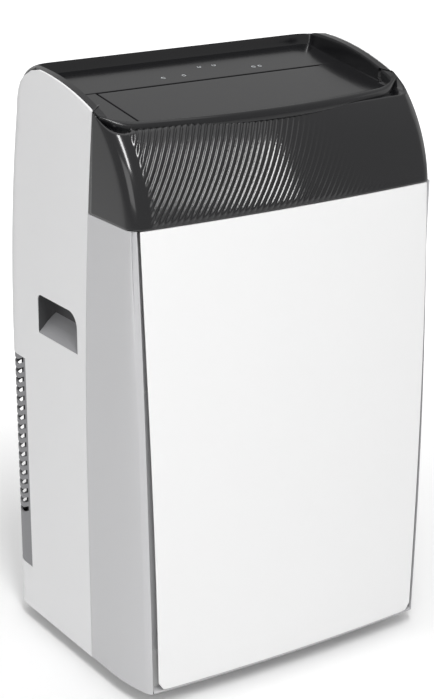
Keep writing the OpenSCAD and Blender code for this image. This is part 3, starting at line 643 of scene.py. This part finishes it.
def ribTree():
    # pushes slanted half-round ribs out of a fine sheet; they fade toward one side
    tree = bpy.data.node_groups.new("slantedRibs", "GeometryNodeTree")
    tree.interface.new_socket("Geometry", in_out="INPUT", socket_type="NodeSocketGeometry")
    for label in ("Pitch", "Height", "Lean", "Fade Start", "Fade End", "Low", "Edge"):
        tree.interface.new_socket(label, in_out="INPUT", socket_type="NodeSocketFloat")
    tree.interface.new_socket("Material", in_out="INPUT", socket_type="NodeSocketMaterial")
    tree.interface.new_socket("Geometry", in_out="OUTPUT", socket_type="NodeSocketGeometry")
    gin, gout = tree.nodes.new("NodeGroupInput"), tree.nodes.new("NodeGroupOutput")
    split3 = tree.nodes.new("ShaderNodeSeparateXYZ")
    tree.links.new(tree.nodes.new("GeometryNodeInputPosition").outputs[0], split3.inputs[0])
    x, z = split3.outputs["X"], split3.outputs["Z"]

    def ramp(value, a, b):
        node = tree.nodes.new("ShaderNodeMapRange")
        node.interpolation_type = "SMOOTHSTEP"
        tree.links.new(value, node.inputs["Value"])
        tree.links.new(a, node.inputs["From Min"])
        tree.links.new(b, node.inputs["From Max"])
        return node.outputs[0]

    rise = mathNode(tree, "SUBTRACT", z, gin.outputs["Low"])
    slant = mathNode(tree, "MULTIPLY", rise, gin.outputs["Lean"])
    across = mathNode(tree, "SUBTRACT", x, slant)
    phase = mathNode(tree, "MULTIPLY", mathNode(tree, "DIVIDE", across, gin.outputs["Pitch"]), math.pi)
    wave = mathNode(tree, "POWER", mathNode(tree, "ABSOLUTE", mathNode(tree, "SINE", phase)), 0.75)
    # the fade runs along a diagonal, further right at the foot
    diagonal = mathNode(tree, "ADD", x, mathNode(tree, "MULTIPLY", rise, 0.7))
    fade = mathNode(tree, "SUBTRACT", 1.0, ramp(diagonal, gin.outputs["Fade Start"], gin.outputs["Fade End"]))
    lowEdge = mathNode(tree, "ADD", gin.outputs["Low"], gin.outputs["Edge"])
    lowGate = ramp(z, gin.outputs["Low"], lowEdge)
    sideA = mathNode(tree, "SUBTRACT", 0.198, mathNode(tree, "ABSOLUTE", x))
    zero = mathNode(tree, "MULTIPLY", gin.outputs["Edge"], 0.0)
    sideGate = ramp(sideA, zero, gin.outputs["Edge"])
    amount = mathNode(tree, "MULTIPLY", mathNode(tree, "MULTIPLY", wave, fade),
                      mathNode(tree, "MULTIPLY", lowGate, sideGate))
    push = mathNode(tree, "MULTIPLY", amount, gin.outputs["Height"])
    normal = tree.nodes.new("GeometryNodeInputNormal")
    scale = tree.nodes.new("ShaderNodeVectorMath")
    scale.operation = "SCALE"
    tree.links.new(normal.outputs[0], scale.inputs[0])
    tree.links.new(push, scale.inputs["Scale"])
    mover = tree.nodes.new("GeometryNodeSetPosition")
    tree.links.new(gin.outputs["Geometry"], mover.inputs["Geometry"])
    tree.links.new(scale.outputs[0], mover.inputs["Offset"])
    real = tree.nodes.new("GeometryNodeRealizeInstances")
    paint = tree.nodes.new("GeometryNodeSetMaterial")
    tree.links.new(mover.outputs[0], real.inputs[0])
    tree.links.new(real.outputs[0], paint.inputs["Geometry"])
    tree.links.new(gin.outputs["Material"], paint.inputs["Material"])
    tree.links.new(paint.outputs[0], gout.inputs[0])
    return tree


def runTree(piece, tree, values):
    mod = piece.modifiers.new(tree.name, "NODES")
    mod.node_group = tree
    for item in tree.interface.items_tree:
        if item.item_type == "SOCKET" and item.in_out == "INPUT" and item.name in values:
            mod[item.identifier] = values[item.name]
    applyAll(piece)


def buildCover():
    rows = [coverRow(t, cover["columns"]) for t in spread(0, 1, cover["rowsFront"])]
    last = rows[-1]
    # flange turned in under the tray's lip
    rows.append([(x * 0.985, y + 3, z - 0.6) for x, y, z in last])
    rows.append([(x * 0.93, min(y + cover["flange"], -60), z - 4 + 7 * smooth(160, 200, abs(x)))
                 for x, y, z in last])
    sheet = gridObject("ribbedCover", rows)
    pointAway(sheet, Vector((0, 0.05, 0.6)))
    runTree(sheet, ribTree(), {
        "Pitch": cover["ribPitch"] * mm, "Height": cover["ribHigh"] * mm,
        "Lean": math.tan(math.radians(cover["ribLean"])),
        "Fade Start": cover["fadeStart"] * mm, "Fade End": cover["fadeEnd"] * mm,
        "Low": split * mm, "Edge": cover["border"] * mm,
        "Material": finishes["ribBlack"]})
    mod = sheet.modifiers.new("wall", "SOLIDIFY")
    mod.thickness = cover["wall"] * mm
    mod.offset = -1
    applyAll(sheet)
    faceOut(sheet)
    return sheet


finish(buildCover(), finishes["ribBlack"], "cabinet", ["ribbed_cover"])
print("stage: ribbed cover")

# Top tray

tray = {
    "rim": 204, "rimSlope": 3.5, "outer": 217.4,
    "rearFoot": 96, "rearWall": 3.5,
    "lipY": -119, "lipZ": 719.5, "lipR": 8, "lipSag": 1400,
    "thick": 2.4,
    "lipStart": -74,                   # where the floor begins to follow the lip
    "lipRows": 12,
    "holeRow": 7,                      # the mouth ends at this row before the lip
    "hole": (166, -96, 15.7),          # half width, front and rear edge of the mouth
}


def lipShift(x):
    extra = max(0, abs(x) - 172) / 45
    return x * x / tray["lipSag"] + 6 * extra * extra


def lipRaise(x):
    return 9 * (max(0, abs(x) - 176) / 41) ** 2


def lipRound(x):
    return mix(tray["lipR"], 2.6, smooth(188, 216, abs(x)))


def trayColumns():
    inner = spread(-tray["hole"][0], tray["hole"][0], 44)
    side = [172, 180, 188, 195, 200, tray["rim"] - 1, tray["rim"]]
    side += [tray["rim"] + tray["rimSlope"] * k / 5 for k in range(1, 6)]
    side += [209, 212, 215, tray["outer"]]
    return [-v for v in side[::-1]] + inner + side


def cornerShift(x):
    # how far the crest comes forward where it rounds the casing's corner
    r = form["rearCorner"]
    inner = r - 1.2
    over = max(0, abs(x) - (half - r))
    return r - math.sqrt(max(0, inner * inner - over * over))


def trayPoint(x, y):
    # height of the tray between the rear crest and the foot of the lip
    floor = floorAt(min(y, tray["rearFoot"]))
    rimZ = topLine(min(y, 140))
    sideUp = smooth(tray["rim"], tray["rim"] + tray["rimSlope"], abs(x))
    rearUp = smooth(tray["rearFoot"], tray["rearFoot"] + tray["rearWall"], y)
    return mix(floor, rimZ, max(sideUp, rearUp))


def buildTray():
    columns = trayColumns()
    rear = [131, 128.5, 125, 121, 116, 111, 105, 101] \
        + [tray["rearFoot"] + tray["rearWall"] * k / 5 for k in range(5, -1, -1)]
    plane = [90, 80, 60, 40, 26, tray["hole"][2], 0, -20, -40, -60, tray["lipStart"]]
    rearEnd = rearLine(top - 25.5)
    rows = [[(x, rearEnd - cornerShift(x), top - 25.5) for x in columns]]
    for y in rear + plane:
        turn = smooth(66, 100, y)
        rows.append([(x, y - cornerShift(x) * turn, trayPoint(x, y)) for x in columns])
    # the front part follows the lip's curve
    for s in spread(0, 1, tray["lipRows"])[1:]:
        row = []
        for x in columns:
            foot = tray["lipY"] + lipShift(x)
            y = mix(tray["lipStart"], foot, s)
            base = trayPoint(x, y)
            crest = tray["lipZ"] + lipRound(x) + lipRaise(x) + 5.4 * smooth(188, 216, abs(x))
            row.append((x, y, mix(base, crest, smooth(0.62, 1, s))))
        rows.append(row)
    for a in spread(0, 165, 12)[1:]:
        ar = math.radians(a)
        row = []
        for x in columns:
            r = lipRound(x)
            row.append((x, tray["lipY"] + lipShift(x) - r * math.sin(ar),
                        tray["lipZ"] + lipRaise(x) + 5.4 * smooth(188, 216, abs(x)) + r * math.cos(ar)
                        - 2 * smooth(90, 165, a)))
        rows.append(row)
    firstIn = columns.index(-tray["hole"][0])
    lastIn = columns.index(tray["hole"][0])
    rowHole = 1 + len(rear) + plane.index(tray["hole"][2])
    rowLip = 1 + len(rear) + len(plane) + tray["holeRow"]

    def hole(i, j):
        return firstIn <= i < lastIn and rowHole <= j < rowLip
    sheet = gridObject("topTray", rows, hole)
    thicken(sheet, tray["thick"], Vector((0, 0, 0.5)))
    faceOut(sheet)
    roundEdges(sheet, 0.5, 2, 50)
    return sheet


finish(buildTray(), finishes["pianoBlack"], "cabinet", ["top_tray"])
print("stage: top tray")

# Control panel and outlet flap

glass = {"half": 199.5, "front": 15.9, "rear": 93.5, "proud": 0.7, "thick": 1.4}
flap = {"half": 164.6, "rear": 12.0, "gap": 1.6, "proud": 0.9, "thick": 3.0}


def plate(name, columns, frontY, rearY, proud, thick, rows=14):
    # plate lying on the sloping floor
    def row(s):
        return [(x, mix(rearY, frontY(x), s), floorAt(mix(rearY, frontY(x), s)) + proud) for x in columns]
    sheet = gridObject(name, [row(s) for s in spread(0, 1, rows)])
    thicken(sheet, thick, Vector((0, 0, 0.5)))
    faceOut(sheet)
    roundEdges(sheet, 0.7, 3)
    return sheet


panelPlate = plate("controlPanel", spread(-glass["half"], glass["half"], 40), lambda x: glass["front"],
                   glass["rear"], glass["proud"], glass["thick"])
finish(panelPlate, finishes["pianoBlack"], "cabinet", ["control_panel"])


def flapEdge(x):
    s = tray["holeRow"] / tray["lipRows"]
    return mix(tray["lipStart"], tray["lipY"] + lipShift(x), s) + flap["gap"]


flapPlate = plate("outletFlap", spread(-flap["half"], flap["half"], 44), flapEdge,
                  flap["rear"], flap["proud"], flap["thick"])
finish(flapPlate, finishes["pianoBlack"], "flap", ())
print("stage: flap and control panel")

# Lower grille

grille = {"wall": 2.2, "rows": 40, "inset": 0.6}


def buildGrille():
    y0, z0, z1 = casing["grille"]
    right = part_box("lower_grille")[1].x / mm
    r = form["rearCorner"]
    d = grille["inset"]
    line = [(-half + d, y) for y in spread(y0 + 0.4, form["rearY"] - r, 6)]
    turn = [math.radians(a) for a in spread(0, 90, 10)[1:]]
    line += [(-half + r - (r - d) * math.cos(a), form["rearY"] - r + (r - d) * math.sin(a)) for a in turn]
    line += [(x, form["rearY"] - d) for x in spread(-half + r, right, 12)[1:]]
    rows = [[(x, y, z) for x, y in line] for z in spread(z0 + 0.4, z1 - 0.4, grille["rows"])]
    sheet = gridObject("lowerGrille", rows)
    thicken(sheet, grille["wall"], Vector((0, 0, 0.2)))
    faceOut(sheet)
    points, faces = [], []
    bays = [(-260, -half + 34)] + [(-half + 40 + b * 62, -half + 96 + b * 62) for b in range(3)]
    for k in range(casing["slots"]):
        z = z1 - 14 - k * casing["slotPitch"]
        h = casing["slotHigh"]
        for x0, x1 in bays:
            base = len(points)
            ya, yb = y0 + 6, 240
            drop = 7 if x0 < -half else 0
            for x in (x0, x1):
                for y, dz in ((ya, drop), (form["rearY"] - r, 0), (yb, 0)):
                    points += [(x, y, z + dz), (x, y, z + dz + h)]
            a, b = base, base + 6
            faces += [(a, a + 1, a + 3, a + 2), (a + 2, a + 3, a + 5, a + 4),
                      (b, b + 2, b + 3, b + 1), (b + 2, b + 4, b + 5, b + 3),
                      (a, b, b + 1, a + 1), (a + 4, a + 5, b + 5, b + 4),
                      (a, a + 2, b + 2, b), (a + 2, a + 4, b + 4, b + 2),
                      (a + 1, b + 1, b + 3, a + 3), (a + 3, b + 3, b + 5, a + 5)]
    cutter = meshObject("slotCut", points, faces, False)
    faceOut(cutter)
    cut(sheet, [cutter])
    roundEdges(sheet, 0.4)
    return sheet


finish(buildGrille(), finishes["grilleGrey"], "cabinet", ["lower_grille"])


def buildGrilleShadeSheet():
    # matt black sheet behind the grille, painted shade seen through the slots, so that nothing shines through
    # the corner
    y0, z0, z1 = casing["grille"]
    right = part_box("lower_grille")[1].x / mm
    r, d = form["rearCorner"], 9
    line = [(-half + d, y) for y in spread(y0 + 2, form["rearY"] - r, 4)]
    turn = [math.radians(a) for a in spread(0, 90, 10)[1:]]
    line += [(-half + r - (r - d) * math.cos(a), form["rearY"] - r + (r - d) * math.sin(a)) for a in turn]
    line += [(x, form["rearY"] - d) for x in spread(-half + r, right - 2, 8)[1:]]
    sheet = gridObject("grilleShadeSheet", [[(x, y, z) for x, y in line] for z in spread(z0 + 2, z1 - 2, 12)])
    thicken(sheet, 0.8, Vector((0, 0, 0.2)))
    faceOut(sheet)
    return sheet


# painted shade: the black sheet darkens what is seen through the grille slots
finish(buildGrilleShadeSheet(), finishes["mattBlack"], "cabinet", ())
print("stage: lower grille")

# Hand grip pockets

pocket = {"deep": 25, "wall": 1.6}


def buildPockets():
    # pocket with a deep upper part and a floor that rises outward
    y0, y1, z0, z1 = casing["grip"]
    out, low = half - 1.2, z0 - 1
    profile = gripOutline(0.4)
    rings = []
    for depth, lift, shrink in ((0, 0, 0), (6, 6, 0.3), (12, 13, 0.8), (18, 19, 1.5), (24, 24, 3)):
        ring = []
        for y, z in profile:
            zz = z + lift * max(0, 1 - (z - low) / 26)
            cy = (y0 + y1) / 2
            ring.append((y + (cy - y) * shrink / 50, zz - shrink * (1 if z > (z0 + z1) / 2 else 0)))
        rings.append((depth, ring))
    points = [(-(out - d), y, z) for d, ring in rings for y, z in ring]
    n = len(profile)
    faces = []
    for j in range(len(rings) - 1):
        for i in range(n):
            k = (i + 1) % n
            faces.append((j * n + i, j * n + k, (j + 1) * n + k, (j + 1) * n + i))
    base = (len(rings) - 1) * n
    faces.append(tuple(base + i for i in range(n)))
    cup = meshObject("gripPockets", points, faces)
    other = cup.data.copy()
    other.transform(Matrix.Scale(-1, 4, (1, 0, 0)))
    work = bmesh.new()
    work.from_mesh(cup.data)
    work.from_mesh(other)
    bmesh.ops.recalc_face_normals(work, faces=work.faces)
    work.to_mesh(cup.data)
    work.free()
    for p in cup.data.polygons:
        p.use_smooth = False
    mod = cup.modifiers.new("wall", "SOLIDIFY")
    mod.thickness = pocket["wall"] * mm
    mod.offset = 0
    applyAll(cup)
    faceOut(cup)
    return cup


pockets = finish(buildPockets(), finishes["pocketGrey"], "cabinet", ["grip_cups"])
# painted shade: every pocket face except the upward floor low down gets the dark copy; the lit floor keeps
# the grey
pockets.data.materials.append(finishes["pocketPaintedShade"])
for side in pockets.data.polygons:
    side.material_index = 0 if side.normal.z > 0.25 and side.center.z < 0.462 else 1
print("stage: grip pockets")

# Touch marks

marks = {
    "size": 2.7,
    "rowFront": 36,
    "rowRear": 57,
    "front": (-57, -27, 78, 88),
    "rear": (9, 31),
    "lift": 0.12,
}


def buildMarks():
    points, faces = [], []

    def ring(cx, cy, r, width, n=20, start=0, sweep=360):
        base = len(points)
        for k in range(n + 1):
            a = math.radians(start + sweep * k / n)
            for rr in (r, r - width):
                x, y = cx + rr * math.cos(a), cy + rr * math.sin(a)
                points.append((x, y, floorAt(y) + glass["proud"] + marks["lift"]))
        for k in range(n):
            faces.append((base + 2 * k, base + 2 * k + 2, base + 2 * k + 3, base + 2 * k + 1))

    s = marks["size"]
    for x in marks["front"]:
        ring(x, marks["rowFront"], s, 0.7, start=20, sweep=320)
    for x in marks["rear"]:
        ring(x, marks["rowRear"], s, 0.7, start=120, sweep=300)
    sheet = meshObject("touchMarks", points, faces, False)
    mod = sheet.modifiers.new("wall", "SOLIDIFY")
    mod.thickness = 0.1 * mm
    mod.offset = 0
    applyAll(sheet)
    faceOut(sheet)
    return sheet


finish(buildMarks(), plastic("markWhite", (0.75, 0.78, 0.8), 0.4), "cabinet", ())
print("stage: touch marks")

# Stage, camera and light

shot = {
    "place": (-1.2335, -1.8645, 1.1807), "target": (0.0, 0.0105, 0.3834),
    "lens": 93.8, "shift": 0.0053,
    "key": 22, "fill": 5, "top": 12, "strip": 52, "world": 0.5, "floorNear": 0.1, "floorFar": 0.75,
}


def addCamera():
    data = bpy.data.cameras.new("camera")
    data.lens = shot["lens"]
    data.sensor_width = 36
    data.shift_x = shot["shift"]
    cam = bpy.data.objects.new("camera", data)
    cam.location = shot["place"]
    cam.rotation_euler = (Vector(shot["target"]) - Vector(shot["place"])).to_track_quat("-Z", "Y").to_euler()
    bpy.context.scene.collection.objects.link(cam)
    bpy.context.scene.camera = cam


def softbox(name, place, target, wide, high, watts):
    data = bpy.data.lights.new(name, "AREA")
    data.shape = "RECTANGLE"
    data.size, data.size_y = wide, high
    data.energy = watts
    lamp = bpy.data.objects.new(name, data)
    lamp.location = place
    lamp.rotation_euler = (Vector(target) - Vector(place)).to_track_quat("-Z", "Y").to_euler()
    bpy.context.scene.collection.objects.link(lamp)
    return lamp


def addStage():
    world = bpy.data.worlds.new("studio")
    bpy.context.scene.world = world
    world.use_nodes = True
    tree = world.node_tree
    back = tree.nodes["Background"]
    back.inputs["Color"].default_value = (1, 1, 1, 1)
    seen = tree.nodes.new("ShaderNodeLightPath").outputs["Is Camera Ray"]
    strength = mathNode(tree, "ADD", shot["world"], mathNode(tree, "MULTIPLY", seen, 1 - shot["world"]))
    tree.links.new(strength, back.inputs["Strength"])
    floor = meshObject("floor", [(-9000, -9000, 0), (9000, -9000, 0), (9000, 9000, 0), (-9000, 9000, 0)],
                       [(0, 1, 2, 3)], False)
    pale = plastic("paleFloor", (0.9, 0.9, 0.9), 0.8, bump=0.0, tone=0.0)
    nodesIn = pale.node_tree
    bsdf = nodesIn.nodes["Principled BSDF"]
    bsdf.inputs["Emission Color"].default_value = (1, 1, 1, 1)
    seenFloor = nodesIn.nodes.new("ShaderNodeLightPath").outputs["Is Camera Ray"]
    # far floor glows to white; the floor near the part keeps its shadow
    far = nodesIn.nodes.new("ShaderNodeVectorMath")
    far.operation = "LENGTH"
    nodesIn.links.new(nodesIn.nodes["Texture Coordinate"].outputs["Object"], far.inputs[0])
    ramp = nodesIn.nodes.new("ShaderNodeMapRange")
    ramp.interpolation_type = "SMOOTHSTEP"
    nodesIn.links.new(far.outputs["Value"], ramp.inputs["Value"])
    ramp.inputs["From Min"].default_value = 0.35
    ramp.inputs["From Max"].default_value = 1.6
    ramp.inputs["To Min"].default_value = shot["floorNear"]
    ramp.inputs["To Max"].default_value = shot["floorFar"]
    glow = mathNode(nodesIn, "MULTIPLY", seenFloor, ramp.outputs[0])
    nodesIn.links.new(glow, bsdf.inputs["Emission Strength"])
    floor.data.materials.append(pale)


addCamera()
addStage()
softbox("key", (-3.0, -2.4, 2.0), (0, 0, 0.4), 2.0, 2.0, shot["key"])
softbox("fill", (3.3, -0.4, 1.6), (0, 0, 0.4), 2.0, 2.0, shot["fill"])
softbox("strip", (-0.7, -1.6, 3.0), (0, -0.1, 0.65), 0.5, 1.8, shot["strip"])
softbox("overhead", (0, 0.5, 3.2), (0, 0, 0.5), 2.4, 2.4, shot["top"])
bpy.context.scene.view_settings.view_transform = "Standard"
print("stage: camera and light")
